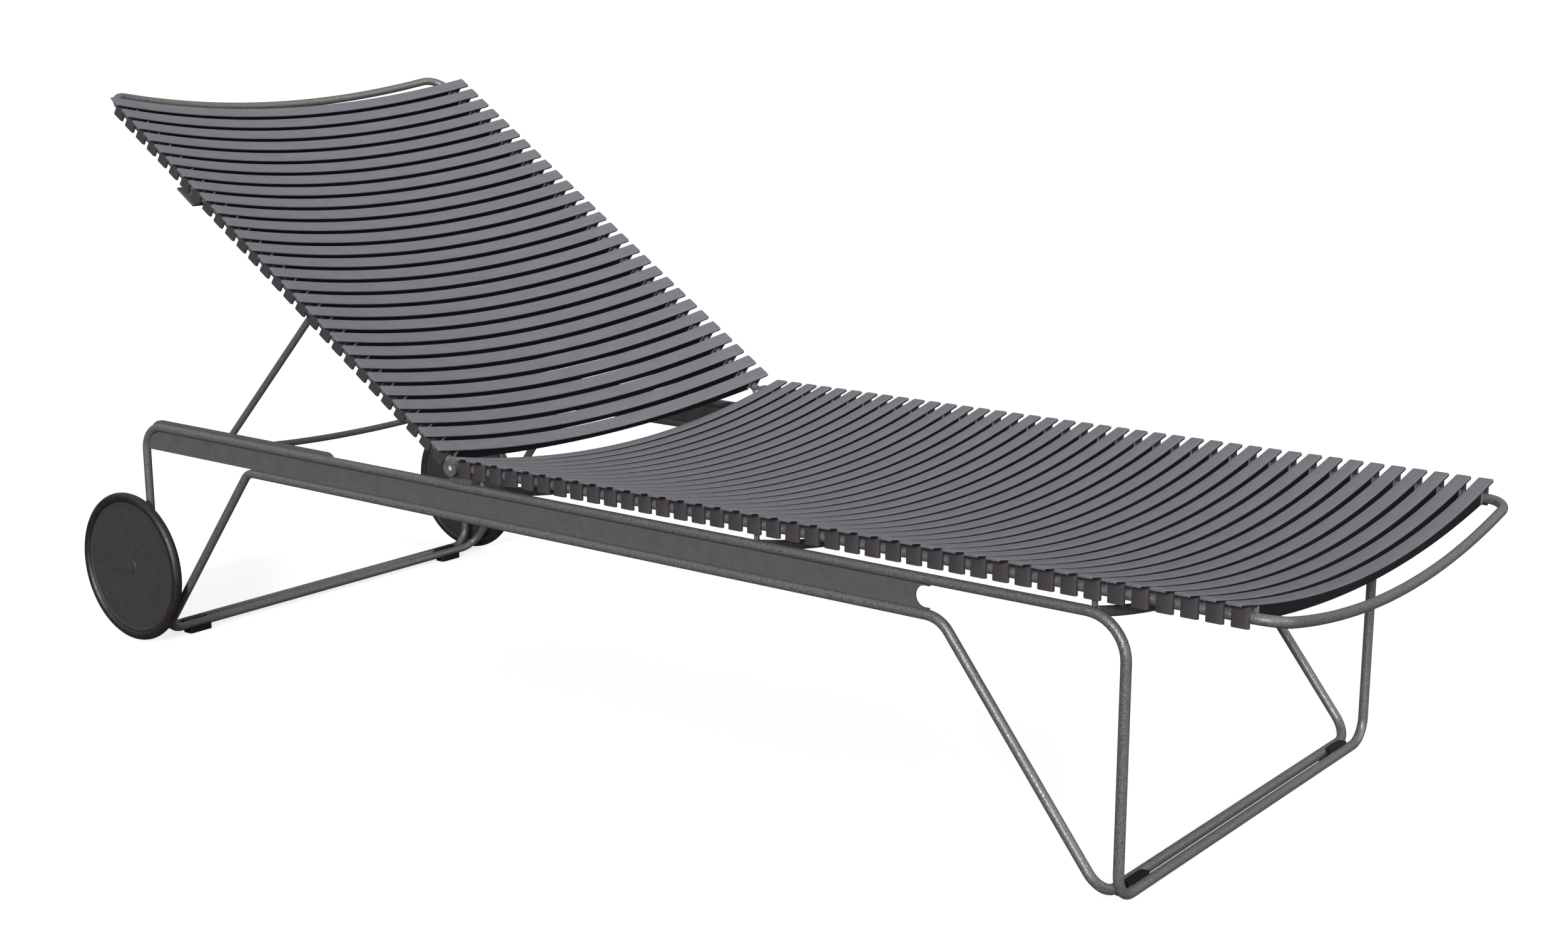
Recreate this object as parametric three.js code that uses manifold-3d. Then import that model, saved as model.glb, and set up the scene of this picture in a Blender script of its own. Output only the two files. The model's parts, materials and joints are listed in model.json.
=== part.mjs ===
// A reclining sun lounger: a bent steel tube frame on two wheels and four pads, moulded slats clipped
// to a fixed seat frame and to a hinged backrest, and a bail that props the backrest on two racks.
// Millimetres and degrees. +X runs to the foot end, +Z up, and the part is symmetric about Y = 0.
// Inside each group X is measured from the backrest hinge.
import * as THREE from "three";
import { mergeVertices } from "three/addons/utils/BufferGeometryUtils.js";
import Module from "manifold-3d";

const wasm = await Module();
wasm.setup();

// ---- Driving dimensions ----

const GAP = 0.3; // left between pieces that touch
const SIDES = [["near", -1], ["far", 1]];

const TUBE_R = 6.25; // every frame tube
const RAIL_Y = 328; // tube centre lines, each side of the middle
const UPPER_Z = 334; // upper rail
const LOWER_Z = 292; // lower rail
const BASE_Z = 13; // the two bars on the ground, end to end of the base
const HINGE_Z = 360; // hinge axis and seat tubes

const FRONT_LEG_X = 1007;
const REAR_LEG_X = -667;
const BASE_PITCH = 19.5; // between the outer and inner bars on the ground
const INNER_FRONT_X = 770; // where the lower rail turns into its slanted legs
const INNER_REAR_X = -431;
const FRONT_BEND = 50;
const REAR_BEND = 38;
const INNER_FRONT_BEND = 38;
const INNER_REAR_BEND = 24;
const BASE_BEND = 30;

const PLATE_THICK = 3; // side plate between the rails
const PLATE_FRONT_X = 756;
const PLATE_TIP = 1.5; // metal left above and below the round cut at its front

const SLAT_PITCH = 28.6;
const SLAT_WIDTH = 20;
const SLAT_LENGTH = 705;
const SLAT_TOP = 20.5; // slat ends above the tube centre line
const SLAT_SAG = 39.3; // ends above middle
const SLAT_PLATE = 3.5;
const SLAT_FACETS = 6; // straight runs along a slat
const RIB_DEPTH = 12; // top of the slat to the bottom of the rib, at the middle
const RIB_DEPTH_END = 19;
const CLIP_OUTER_Y = 337.3;
const CLIP_INNER_Y = 312;
const CLIP_OUTER_DROP = 10.5; // cheeks reach below the tube centre line
const CLIP_INNER_DROP = 7;
const SEAT_SLATS = 40;
const SEAT_GROUP = 8; // slats joined into one node
const BACK_SLATS = 28;
const BACK_GROUP = 7;
const SEAT_FIRST_X = 13.5; // hinge to the nearest edge of the first slat
const BACK_FIRST_X = 17.4;

const BOW_SAG = 37; // bowed tubes: ends above middle
const END_BOW_GAP = 30.5; // last slat edge to the bowed end tube
const END_BEND = 30;
const CROSS_BAR_X = [49, 508, 967];
const STUB_R = 3.5;

const EYE_R = 11.5; // hinge discs
const EYE_BORE = 4;
const PIN_R = 3.6;
const TUBE_START = 12.4; // tubes begin this far from the hinge

const RECLINE_REST = 33.5; // backrest above level, as stored
const RECLINE_MAX = 50;
const STAY_PIVOT_X = 342; // hinge to stay pivot, along the backrest
const STAY_PIVOT_DROP = 14; // below the backrest tubes
const LUG_GAP = 10; // the stay lug fills this gap between backrest slats, counted from the hinge
const STAY_LENGTH = 312; // pivot to foot pins
const STAY_ANGLE = 45.7; // stay below level, as stored
const STAY_RATIO = 2.2; // stay turn on the backrest per turn of the backrest
const STAY_R = 5;
const STAY_Y = 308.5;
const STAY_SAG = 33;
const FOOT_PIN_R = 4;

const LUG_Y = 314; // inner face of the stay lugs
const LUG_THICK = 3.4;
const RACK_Y = LUG_Y + LUG_THICK + GAP; // inner face of the rack plate
const RACK_THICK = 4;
const RACK_REAR_X = -666;
const RACK_FRONT_X = -251;
const RACK_TOP_Z = 343;
const RACK_BOTTOM_Z = 297;
const RACK_REAR_CORNER = 30; // stays inside the bend of the upper rail
const RACK_FRONT_CORNER = 15;
const RACK_RECLINES = [0, 10, 18, 26, 33.5, 41, 50]; // backrest positions with a pocket
const PIN_DROP_RECLINE = 8; // the foot pins drop steeply into the rear pocket below this recline

const BRACKET_GAP = 20; // the bracket hangs in this gap between backrest slats, counted from the hinge
const BRACKET_LENGTH = 41;
const BRACKET_TOP = -13.2; // against the backrest tubes' centre line
const BRACKET_THICK = 3.2;

const WHEEL_X = -686;
const WHEEL_Z = 115;
const WHEEL_Y = 354.6; // middle of the tyre
const WHEEL_R = 115;
const TYRE_R = 7.5;
const DISC_HALF = 3.9;
const AXLE_R = 4;
const PAD_Y = 268;
const PAD_WIDTH = 20;
const PAD_LENGTH = 42;
const PAD_HEIGHT = 10;
const PAD_RIB = 6; // between the two bars

// The lounger's box is centred on X = 0 between the wheels' rear and the foot end tube.
const SEAT_END_X = SEAT_FIRST_X + (SEAT_SLATS - 1) * SLAT_PITCH + SLAT_WIDTH;
const FOOT_BOW_X = SEAT_END_X + END_BOW_GAP;
const BACK_END_X = BACK_FIRST_X + (BACK_SLATS - 1) * SLAT_PITCH + SLAT_WIDTH;
const HEAD_BOW_X = BACK_END_X + END_BOW_GAP;
const HINGE_X = -(WHEEL_X - WHEEL_R + FOOT_BOW_X + TUBE_R) / 2;

// ---- Materials ----

const FINISHES = {
  slat: { color: 0x6f6e73, roughness: 0.5, metalness: 0 },
  tube: { color: 0x5d5f5e, roughness: 0.45, metalness: 0.6 },
  plate: { color: 0x4f4d4e, roughness: 0.5, metalness: 0.6 },
  steel: { color: 0xb9bab8, roughness: 0.3, metalness: 1 },
  tyre: { color: 0x231d1a, roughness: 0.7, metalness: 0 },
  disc: { color: 0x3d3c3c, roughness: 0.55, metalness: 0 },
  pad: { color: 0x121212, roughness: 0.7, metalness: 0 },
};

// Each piece goes through manifold-3d once, so that vertices that coincide are one vertex.
function addPiece(group, name, geometry, finish) {
  const material = new THREE.MeshStandardMaterial(FINISHES[finish]);
  const mesh = new THREE.Mesh(toGeometry(toSolid(geometry)), material);
  mesh.name = name;
  group.add(mesh);
  return mesh;
}

// ---- Shared shapes ----

const vec = (x, y, z) => new THREE.Vector3(x, y, z);
const radians = THREE.MathUtils.degToRad;

// A curve through stations in order, so that an extrusion's steps fall on them.
class Route extends THREE.Curve {
  constructor(stations) {
    super();
    this.stations = stations;
  }
  getPoint(t, target = new THREE.Vector3()) {
    const place = t * (this.stations.length - 1);
    const i = Math.min(Math.floor(place + 1e-9), this.stations.length - 2);
    return target.lerpVectors(this.stations[i], this.stations[i + 1], place - i);
  }
  getPointAt(u, target) {
    return this.getPoint(u, target);
  }
  getTangentAt(u, target = new THREE.Vector3()) {
    const last = this.stations.length - 1;
    const i = Math.round(u * last);
    const ahead = this.stations[Math.min(i + 1, last)];
    return target.subVectors(ahead, this.stations[Math.max(i - 1, 0)]).normalize();
  }
}

// The points of a round bend of the given radius at a corner.
function bendAt(before, corner, after, radius, steps) {
  const back = before.clone().sub(corner).normalize();
  const ahead = after.clone().sub(corner).normalize();
  const half = back.angleTo(ahead) / 2;
  const inward = back.clone().add(ahead).normalize();
  const centre = corner.clone().addScaledVector(inward, radius / Math.sin(half));
  const first = corner.clone().addScaledVector(back, radius / Math.tan(half)).sub(centre);
  const axis = new THREE.Vector3().crossVectors(ahead, back).normalize();
  const points = [];
  for (let i = 0; i <= steps; i++) {
    const turned = first.clone().applyAxisAngle(axis, (Math.PI - 2 * half) * (i / steps));
    points.push(turned.add(centre));
  }
  return points;
}

// Corners are [point, bend radius]; a radius of 0 keeps the point as it is.
function routeOf(corners, steps = 5) {
  const stations = [];
  corners.forEach(([point, radius], i) => {
    if (radius > 0) {
      stations.push(...bendAt(corners[i - 1][0], point, corners[i + 1][0], radius, steps));
    } else {
      stations.push(point);
    }
  });
  return stations;
}

function disc(radius, sides) {
  const points = [];
  for (let i = 0; i < sides; i++) {
    const turn = (2 * Math.PI * i) / sides;
    points.push(new THREE.Vector2(radius * Math.cos(turn), radius * Math.sin(turn)));
  }
  return new THREE.Shape(points);
}

function tube(stations, radius = TUBE_R, sides = 10) {
  const extrudePath = new Route(stations);
  return new THREE.ExtrudeGeometry(disc(radius, sides), {
    steps: stations.length - 1,
    extrudePath,
    bevelEnabled: false,
  });
}

// An outline drawn in X and Z, from one Y to a greater one.
function plateXZ(shape, lowY, highY, curveSegments = 8) {
  const options = { depth: highY - lowY, bevelEnabled: false, curveSegments };
  const geometry = new THREE.ExtrudeGeometry(shape, options);
  return geometry.rotateX(Math.PI / 2).translate(0, highY, 0);
}

// An outline drawn in Y and Z, of the given width about X = 0.
function barYZ(shape, width) {
  const geometry = new THREE.ExtrudeGeometry(shape, { depth: width, bevelEnabled: false });
  const turn = new THREE.Matrix4().makeBasis(vec(0, 1, 0), vec(0, 0, 1), vec(1, 0, 0));
  return geometry.applyMatrix4(turn).translate(-width / 2, 0, 0);
}

function shapeOf(pairs) {
  return new THREE.Shape(pairs.map(([x, y]) => new THREE.Vector2(x, y)));
}

// A cylinder along Y between two Y values, about the point (x, z).
function roundY(x, z, radius, lowY, highY, sides = 20) {
  const geometry = new THREE.CylinderGeometry(radius, radius, highY - lowY, sides);
  return geometry.translate(x, (lowY + highY) / 2, z);
}

// A plate region on one side: the two Y values in rising order.
function span(side, innerY, outerY) {
  return side < 0 ? [-outerY, -innerY] : [innerY, outerY];
}

function toSolid(geometry) {
  const flat = geometry.index ? geometry.toNonIndexed() : geometry;
  const bare = new THREE.BufferGeometry();
  bare.setAttribute("position", flat.getAttribute("position").clone());
  const merged = mergeVertices(bare, 1e-3);
  const mesh = new wasm.Mesh({
    numProp: 3,
    vertProperties: new Float32Array(merged.getAttribute("position").array),
    triVerts: new Uint32Array(merged.index.array),
  });
  mesh.merge();
  return new wasm.Manifold(mesh);
}

function toGeometry(manifold) {
  const mesh = manifold.getMesh();
  const geometry = new THREE.BufferGeometry();
  geometry.setAttribute("position", new THREE.BufferAttribute(mesh.vertProperties, 3));
  geometry.setIndex(new THREE.BufferAttribute(mesh.triVerts, 1));
  geometry.computeVertexNormals();
  return geometry;
}

function joined(geometries) {
  return toGeometry(geometries.map(toSolid).reduce((all, one) => all.add(one)));
}

function cutFrom(geometry, tools) {
  return toGeometry(tools.map(toSolid).reduce((left, tool) => left.subtract(tool), toSolid(geometry)));
}

// ---- Frame: outer and inner tube hoops, plates, racks, cross bars ----

// One half of the outer hoop: half of each ground bar, two upright legs and an upper rail.
function outerHoop(side) {
  const y = side * RAIL_Y;
  const middle = side * GAP / 2;
  return tube(routeOf([
    [vec(FRONT_LEG_X, middle, BASE_Z), 0],
    [vec(FRONT_LEG_X, y, BASE_Z), BASE_BEND],
    [vec(FRONT_LEG_X, y, UPPER_Z), FRONT_BEND],
    [vec(REAR_LEG_X, y, UPPER_Z), REAR_BEND],
    [vec(REAR_LEG_X, y, BASE_Z), BASE_BEND],
    [vec(REAR_LEG_X, middle, BASE_Z), 0],
  ]));
}

// One half of the inner hoop, with slanted legs under the lower rail.
function innerHoop(side) {
  const y = side * RAIL_Y;
  const middle = side * GAP / 2;
  const frontX = FRONT_LEG_X - BASE_PITCH;
  const rearX = REAR_LEG_X + BASE_PITCH;
  return tube(routeOf([
    [vec(frontX, middle, BASE_Z), 0],
    [vec(frontX, y, BASE_Z), BASE_BEND],
    [vec(INNER_FRONT_X, y, LOWER_Z), INNER_FRONT_BEND],
    [vec(INNER_REAR_X, y, LOWER_Z), INNER_REAR_BEND],
    [vec(rearX, y, BASE_Z), BASE_BEND],
    [vec(rearX, middle, BASE_Z), 0],
  ]));
}

// The strip between the rails, rounded into the rear bend and cut back in a half circle at the front.
function sidePlate(side) {
  const top = UPPER_Z - TUBE_R - GAP;
  const bottom = LOWER_Z + TUBE_R + GAP;
  const round = REAR_BEND - TUBE_R - GAP;
  const bendX = REAR_LEG_X + REAR_BEND;
  const bendZ = UPPER_Z - REAR_BEND;
  const low = Math.asin((bottom - bendZ) / round);
  const middle = (top + bottom) / 2;
  const cut = middle - bottom - PLATE_TIP;
  const shape = new THREE.Shape();
  shape.moveTo(PLATE_FRONT_X, bottom);
  shape.lineTo(PLATE_FRONT_X, middle - cut);
  shape.absarc(PLATE_FRONT_X - cut / 2, middle, cut, -Math.PI / 2, Math.PI / 2, true);
  shape.lineTo(PLATE_FRONT_X, middle + cut);
  shape.lineTo(PLATE_FRONT_X, top);
  shape.lineTo(bendX, top);
  shape.absarc(bendX, bendZ, round, Math.PI / 2, Math.PI - low, false);
  return plateXZ(shape, ...span(side, RAIL_Y - PLATE_THICK / 2, RAIL_Y + PLATE_THICK / 2));
}

// Where the stay's foot pins are, in X and Z, with the backrest at the given recline.
function footPin(recline) {
  const back = radians(recline);
  const stay = radians(STAY_ANGLE + (STAY_RATIO - 1) * (recline - RECLINE_REST));
  const pivotX = -STAY_PIVOT_X * Math.cos(back) - STAY_PIVOT_DROP * Math.sin(back);
  const pivotZ = STAY_PIVOT_X * Math.sin(back) - STAY_PIVOT_DROP * Math.cos(back);
  return [pivotX - STAY_LENGTH * Math.cos(stay), HINGE_Z + pivotZ - STAY_LENGTH * Math.sin(stay)];
}

// The rack's slot follows the pins, with a pocket in its lower edge at each backrest position.
function rackSlot() {
  const half = FOOT_PIN_R + 0.8;
  const end = half + 1;
  const deep = 2.5;
  const lower = [];
  const upper = [];
  for (let recline = 0; recline <= RECLINE_MAX; recline++) {
    const [x, z] = footPin(recline);
    const near = Math.min(...RACK_RECLINES.map((stop) => Math.abs(stop - recline)));
    lower.push([x, z - half - deep * Math.max(0, 1 - near / 1.5)]);
    if (recline === 0 || recline >= PIN_DROP_RECLINE) {
      upper.push([x, z + half]);
    }
  }
  const [rearX, rearZ] = footPin(0);
  const [frontX, frontZ] = footPin(RECLINE_MAX);
  return shapeOf([
    ...lower,
    [frontX + end, frontZ - 3],
    [frontX + end, frontZ + 3],
    ...upper.reverse(),
    [rearX - end, rearZ + 3],
    [rearX - end, rearZ - 3],
  ]);
}

function rack(side) {
  const shape = new THREE.Shape();
  shape.moveTo(RACK_REAR_X, RACK_BOTTOM_Z);
  shape.lineTo(RACK_FRONT_X, RACK_BOTTOM_Z);
  const front = RACK_FRONT_CORNER;
  const rear = RACK_REAR_CORNER;
  shape.absarc(RACK_FRONT_X - front, RACK_TOP_Z - front, front, 0, Math.PI / 2, false);
  shape.absarc(RACK_REAR_X + rear, RACK_TOP_Z - rear, rear, Math.PI / 2, Math.PI, false);
  shape.holes.push(rackSlot());
  const [low, high] = span(side, RACK_Y, RACK_Y + RACK_THICK);
  return plateXZ(shape, low, high, 5);
}

// A tube that hangs in a shallow arc from side to side, in the plane of X = x.
function bow(x, endZ, halfWidth, sag, steps) {
  const points = [];
  for (let i = 0; i <= steps; i++) {
    const across = (2 * i) / steps - 1;
    points.push(vec(x, across * halfWidth, endZ - sag * (1 - across * across)));
  }
  return points;
}

// A tube that runs out along one side, across in a bow and back along the other side.
function bowedU(startX, endX, z, sag, bend) {
  const arc = bow(endX, z, RAIL_Y, sag, 12);
  const inner = arc.slice(2, -2).map((point) => [point, 0]);
  return tube(routeOf([
    [vec(startX, -RAIL_Y, z), 0],
    [arc[0], bend],
    ...inner,
    [arc.at(-1), bend],
    [vec(startX, RAIL_Y, z), 0],
  ]));
}

function buildFrame(group) {
  for (const [word, side] of SIDES) {
    addPiece(group, `outer_hoop_${word}`, outerHoop(side), "tube");
    addPiece(group, `inner_hoop_${word}`, innerHoop(side), "tube");
    addPiece(group, `side_plate_${word}`, sidePlate(side), "plate");
    addPiece(group, `stay_rack_${word}`, rack(side), "plate");
  }
  CROSS_BAR_X.forEach((x, i) => {
    const arc = bow(x, UPPER_Z, RAIL_Y - TUBE_R - GAP - 1.5, BOW_SAG, 12);
    addPiece(group, `cross_bar_${i + 1}`, tube(arc), "tube");
    for (const [word, side] of SIDES) {
      const low = UPPER_Z + TUBE_R + GAP;
      const height = HINGE_Z - TUBE_R - GAP - low;
      const stub = new THREE.CylinderGeometry(STUB_R, STUB_R, height, 12);
      stub.rotateX(Math.PI / 2).translate(x, side * RAIL_Y, low + height / 2);
      addPiece(group, `seat_stub_${i + 1}_${word}`, stub, "tube");
    }
  });
  const seat = bowedU(TUBE_START, FOOT_BOW_X, HINGE_Z, BOW_SAG, END_BEND);
  addPiece(group, "seat_frame", seat, "tube");
}

// ---- Ground pads ----

// A level slab about a point in X and Y, with round corners.
function slab(x, y, width, length, corner, lowZ, highZ) {
  const [halfX, halfY] = [width / 2 - corner, length / 2 - corner];
  const shape = new THREE.Shape();
  [[1, 1], [-1, 1], [-1, -1], [1, -1]].forEach(([towardX, towardY], i) => {
    const turn = (i * Math.PI) / 2;
    shape.absarc(towardX * halfX, towardY * halfY, corner, turn, turn + Math.PI / 2, false);
  });
  const options = { depth: highZ - lowZ, bevelEnabled: false, curveSegments: 4 };
  return new THREE.ExtrudeGeometry(shape, options).translate(x, y, lowZ);
}

// A rubbery block under the inner bar, with a rib between the two bars and a cap keyed over it.
function pad(outerX, innerX, y) {
  const middle = (outerX + innerX) / 2;
  const inward = Math.sign(innerX - outerX);
  const blockX = middle + inward * (PAD_WIDTH - PAD_RIB) / 2;
  const block = slab(blockX, y, PAD_WIDTH, PAD_LENGTH, 5, 0, PAD_HEIGHT);
  const rib = new THREE.BoxGeometry(PAD_RIB, PAD_LENGTH - 10, 16).translate(middle, y, 9);
  const cap = slab(middle, y, 13, PAD_LENGTH + 2, 5, 14.5, 19.5);
  const cutters = [outerX, innerX].map((x) => roundY(x, BASE_Z, TUBE_R + GAP, y - 25, y + 25, 16));
  return cutFrom(joined([block, rib, cap]), cutters);
}

function buildPads(group) {
  for (const [word, side] of SIDES) {
    const y = side * PAD_Y;
    addPiece(group, `foot_pad_${word}`, pad(FRONT_LEG_X, FRONT_LEG_X - BASE_PITCH, y), "pad");
    addPiece(group, `head_pad_${word}`, pad(REAR_LEG_X, REAR_LEG_X + BASE_PITCH, y), "pad");
  }
}

// ---- Slats ----

const slatTop = (y) => SLAT_TOP - SLAT_SAG * (1 - (2 * y / SLAT_LENGTH) ** 2);

const slatDepth = (y) => RIB_DEPTH + (RIB_DEPTH_END - RIB_DEPTH) * (y / CLIP_INNER_Y) ** 2;
const slatUnder = (y) => slatTop(y) - slatDepth(y);

// Half of the slat's outline from the middle of its underside round to its end, for Y >= 0.
function slatEnd() {
  const inner = RAIL_Y - TUBE_R - GAP;
  const outer = RAIL_Y + TUBE_R + GAP;
  const saddle = TUBE_R + GAP;
  const underPlate = (y) => slatTop(y) - SLAT_PLATE;
  return [
    [CLIP_INNER_Y, slatUnder(CLIP_INNER_Y)],
    [CLIP_INNER_Y, -CLIP_INNER_DROP],
    [inner, -CLIP_INNER_DROP],
    [inner, saddle],
    [outer, saddle],
    [outer, -CLIP_OUTER_DROP],
    [CLIP_OUTER_Y, -CLIP_OUTER_DROP],
    [CLIP_OUTER_Y, underPlate(CLIP_OUTER_Y)],
    [SLAT_LENGTH / 2, underPlate(SLAT_LENGTH / 2)],
    [SLAT_LENGTH / 2, slatTop(SLAT_LENGTH / 2)],
  ];
}

// One slat: a sagging bar with, at each end, a saddle over the tube and a cheek on each side of it.
function slat() {
  const folds = [];
  for (let i = 1; i < SLAT_FACETS; i++) {
    folds.push(SLAT_LENGTH * (i / SLAT_FACETS - 0.5));
  }
  const right = slatEnd();
  const left = slatEnd().map(([y, z]) => [-y, z]).reverse();
  const under = folds.map((y) => [y, slatUnder(y)]);
  const top = folds.map((y) => [y, slatTop(y)]).reverse();
  return barYZ(shapeOf([...left, ...under, ...right, ...top]), SLAT_WIDTH);
}

const SLAT = toSolid(slat());

// Some slats side by side, with a small link between the outer cheeks of each pair.
function slatGroup(count) {
  let all = SLAT;
  for (let i = 1; i < count; i++) {
    all = all.add(SLAT.translate(i * SLAT_PITCH, 0, 0));
  }
  const run = (count - 1) * SLAT_PITCH;
  for (const side of [-1, 1]) {
    const link = new THREE.BoxGeometry(run, 2, 3);
    link.translate(run / 2, side * (CLIP_OUTER_Y - 1.2), -CLIP_OUTER_DROP + 2);
    all = all.add(toSolid(link));
  }
  return toGeometry(all);
}

function buildSeatSlats(group) {
  for (let i = 0; i < SEAT_SLATS / SEAT_GROUP; i++) {
    const mesh = addPiece(group, `seat_slats_${i + 1}`, slatGroup(SEAT_GROUP), "slat");
    const firstX = SEAT_FIRST_X + SLAT_WIDTH / 2 + i * SEAT_GROUP * SLAT_PITCH;
    mesh.position.set(firstX, 0, HINGE_Z);
  }
}

function buildBackSlats(group) {
  for (let i = 0; i < BACK_SLATS / BACK_GROUP; i++) {
    const mesh = addPiece(group, `back_slats_${i + 1}`, slatGroup(BACK_GROUP), "slat");
    const lastX = BACK_FIRST_X + SLAT_WIDTH / 2 + ((i + 1) * BACK_GROUP - 1) * SLAT_PITCH;
    mesh.position.set(-lastX, 0, 0);
  }
}

// ---- Hinge ----

// A round eye with a bore, and a neck towards the tube it belongs to (along +X or -X).
function eye(direction, side, innerY, outerY, z) {
  const neck = TUBE_R - 1;
  const lean = Math.asin(neck / EYE_R);
  const shape = new THREE.Shape();
  shape.absarc(0, z, EYE_R, lean, 2 * Math.PI - lean, false);
  shape.lineTo(TUBE_START - GAP, z - neck);
  shape.lineTo(TUBE_START - GAP, z + neck);
  const bore = new THREE.Path();
  bore.absarc(0, z, EYE_BORE, 0, 2 * Math.PI, true);
  shape.holes.push(bore);
  const [low, high] = span(side, innerY, outerY);
  const geometry = plateXZ(shape, low, high, 10);
  return direction > 0 ? geometry : geometry.translate(0, 0, -z).rotateY(Math.PI).translate(0, 0, z);
}

// The step under the hinge that carries the end of the seat tube on the upper rail.
function hingeRest(side) {
  const low = UPPER_Z + TUBE_R + GAP;
  const high = HINGE_Z - TUBE_R - GAP;
  const shape = shapeOf([[-10, low], [33, low], [33, high], [15, high], [13, low + 5], [-7, low + 5]]);
  const [lowY, highY] = span(side, RAIL_Y - 5.5, RAIL_Y + 5.5);
  return plateXZ(shape, lowY, highY);
}

function buildHinge(frame, backrest) {
  for (const [word, side] of SIDES) {
    addPiece(frame, `hinge_rest_${word}`, hingeRest(side), "plate");
    addPiece(frame, `seat_eye_${word}`, eye(1, side, 328.3, 334.2, HINGE_Z), "tube");
    addPiece(backrest, `back_eye_${word}`, eye(-1, side, 321.9, 327.8, 0), "tube");
    const shank = roundY(0, HINGE_Z, PIN_R, ...span(side, 319, 338.6), 16);
    const head = roundY(0, HINGE_Z, 6.5, ...span(side, 318.2, 321.4), 16);
    addPiece(frame, `hinge_pin_${word}`, joined([shank, head]), "steel");
    const washer = new THREE.Shape().absarc(0, HINGE_Z, EYE_R, 0, 2 * Math.PI, false);
    washer.holes.push(new THREE.Path().absarc(0, HINGE_Z, EYE_BORE, 0, 2 * Math.PI, true));
    const cap = plateXZ(washer, ...span(side, 334.6, 340.2), 10);
    addPiece(frame, `hinge_collar_${word}`, cap, "tube");
  }
}

// ---- Backrest frame and stay, drawn level and turned by their groups ----

// The middle of a gap between backrest slats, counted from the hinge.
const backGap = (i) => -(BACK_FIRST_X + (i + 1) * SLAT_PITCH - (SLAT_PITCH - SLAT_WIDTH) / 2);

// A plate that carries the stay's pivot, and a block in a gap between slats that reaches the tube.
function stayLug(side) {
  const gapX = backGap(LUG_GAP);
  const half = (SLAT_PITCH - SLAT_WIDTH) / 2 - GAP;
  const outline = shapeOf([
    [gapX - half, 6], [gapX - half, -9], [-349, -10.5], [-349, -17],
    [-345, -21], [-334, -20], [gapX + half, -10], [gapX + half, 6],
  ]);
  const bore = new THREE.Path();
  bore.absarc(-STAY_PIVOT_X, -STAY_PIVOT_DROP, 3.2, 0, 2 * Math.PI, true);
  outline.holes.push(bore);
  const plate = plateXZ(outline, ...span(side, LUG_Y, LUG_Y + LUG_THICK), 12);
  const block = shapeOf([[gapX - half, 6], [gapX - half, -5], [gapX + half, -5], [gapX + half, 6]]);
  return joined([plate, plateXZ(block, ...span(side, LUG_Y + 1, RAIL_Y - TUBE_R - GAP))]);
}

// A short plate under the tube that lands on the upper rail when the backrest is let down.
function backBracket(side) {
  const gapX = backGap(BRACKET_GAP);
  const half = (SLAT_PITCH - SLAT_WIDTH) / 2 - GAP;
  const long = BRACKET_LENGTH / 2;
  const bottom = BRACKET_TOP - BRACKET_THICK;
  const plate = shapeOf([
    [gapX - long, BRACKET_TOP], [gapX - long, bottom], [gapX + long, bottom], [gapX + long, BRACKET_TOP],
  ]);
  const top = -TUBE_R - GAP;
  const web = shapeOf([
    [gapX - half, top], [gapX - half, bottom + 1], [gapX + half, bottom + 1], [gapX + half, top],
  ]);
  return joined([plateXZ(plate, ...span(side, 322, 342)), plateXZ(web, ...span(side, 323, 333))]);
}

function buildBackrest(group) {
  const hoop = bowedU(TUBE_START, HEAD_BOW_X, 0, BOW_SAG, END_BEND).rotateZ(Math.PI);
  addPiece(group, "back_frame", hoop, "tube");
  for (const [word, side] of SIDES) {
    addPiece(group, `back_bracket_${word}`, backBracket(side), "plate");
    addPiece(group, `stay_lug_${word}`, stayLug(side), "tube");
  }
}

function buildStay(group) {
  const arc = bow(0, 0, STAY_Y, STAY_SAG, 12);
  // The bow lies in the stay's own plane, so its sag is turned to run along -X.
  const turned = arc.map((point) => vec(-STAY_LENGTH + point.z, point.y, 0));
  const bail = tube(routeOf([
    [vec(-1, -STAY_Y, 0), 0],
    [turned[0], 14],
    ...turned.slice(1, -1).map((point) => [point, 0]),
    [turned.at(-1), 14],
    [vec(-1, STAY_Y, 0), 0],
  ], 4), STAY_R, 8);
  const parts = [bail];
  for (const side of [-1, 1]) {
    const pinEnd = RACK_Y + RACK_THICK - 0.5;
    parts.push(roundY(-STAY_LENGTH, 0, FOOT_PIN_R, ...span(side, STAY_Y - 4, pinEnd), 12));
    parts.push(roundY(0, 0, 5.6, ...span(side, STAY_Y - 4, STAY_Y + 4), 12));
    parts.push(roundY(0, 0, 2.9, ...span(side, STAY_Y, LUG_Y + LUG_THICK), 12));
  }
  addPiece(group, "stay", joined(parts), "tube");
}

// ---- Wheels ----

// Profiles are [radius, distance outboard of the tyre's middle plane].
function turnedY(profile, side, segments) {
  const points = profile.map(([r, out]) => new THREE.Vector2(r, side * out));
  if (side < 0) {
    points.reverse();
  }
  return new THREE.LatheGeometry(points, segments);
}

function tyre(side) {
  const profile = [];
  for (let i = 0; i <= 8; i++) {
    const turn = (2 * Math.PI * (i % 8)) / 8;
    profile.push([WHEEL_R - TYRE_R + TYRE_R * Math.cos(turn), TYRE_R * Math.sin(turn)]);
  }
  return turnedY(profile, side, 36);
}

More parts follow.
